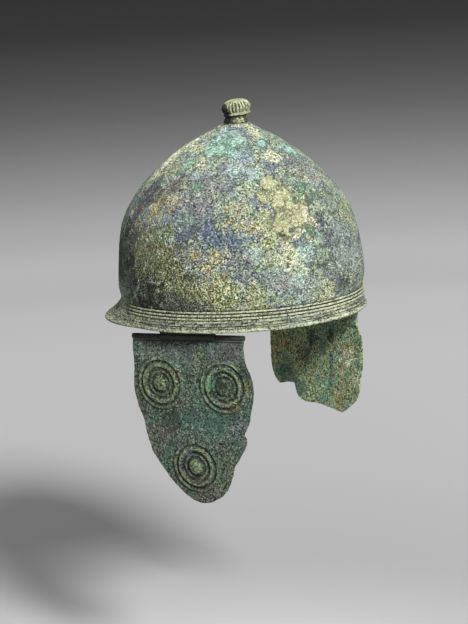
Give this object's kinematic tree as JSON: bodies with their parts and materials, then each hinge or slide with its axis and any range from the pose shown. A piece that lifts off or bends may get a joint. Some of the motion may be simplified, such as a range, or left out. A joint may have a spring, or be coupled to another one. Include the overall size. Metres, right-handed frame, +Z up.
{
  "type": "bronze helmet",
  "caption": "Conical bronze helmet with fluted button knob, short neck guard, ridged rim and hinged cheek pieces with embossed roundels, in green patina.",
  "frame": {"origin": "centre of the head opening, in the plane of the rim's flat underside", "axes": "+Z up through the bowl, -Y to the front, +Y to the neck guard, +X to the wearer's left"},
  "size_m": [0.2174, 0.2341, 0.3363],
  "materials": {
    "bowl_patina": "matt green, blue-grey and ochre patina with fine pits and a thin crust",
    "knob_patina": "matt cream and pale green patina",
    "cheek_patina": "matt dark green and teal-grey patina with olive highlights on the raised rings",
    "hinge_patina": "matt dark green-brown patina"
  },
  "bodies": {
    "helmet": {"bowl": "bowl_patina", "crest_knob": "knob_patina", "crest_rove": "hinge_patina", "right_hinge_leaf": "hinge_patina", "right_hinge_pin": "hinge_patina", "right_rear_leaf_rivet": "hinge_patina", "right_front_leaf_rivet": "hinge_patina", "left_hinge_leaf": "hinge_patina", "left_hinge_pin": "hinge_patina", "left_rear_leaf_rivet": "hinge_patina", "left_front_leaf_rivet": "hinge_patina"},
    "right_cheek": {"right_cheek_piece": "cheek_patina"},
    "left_cheek": {"left_cheek_piece": "cheek_patina"}
  },
  "joints": [
    {"name": "right_cheek_hinge", "type": "hinge", "parent": "helmet", "child": "right_cheek", "pos_m": [-0.08725, -0.0108, -0.00735], "axis": [-0.1425, 0.9894, -0.0281], "range_deg": [-25, 90]},
    {"name": "left_cheek_hinge", "type": "hinge", "parent": "helmet", "child": "left_cheek", "pos_m": [0.08725, -0.0108, -0.00735], "axis": [-0.1425, -0.9894, 0.0281], "range_deg": [-25, 90]}
  ]
}
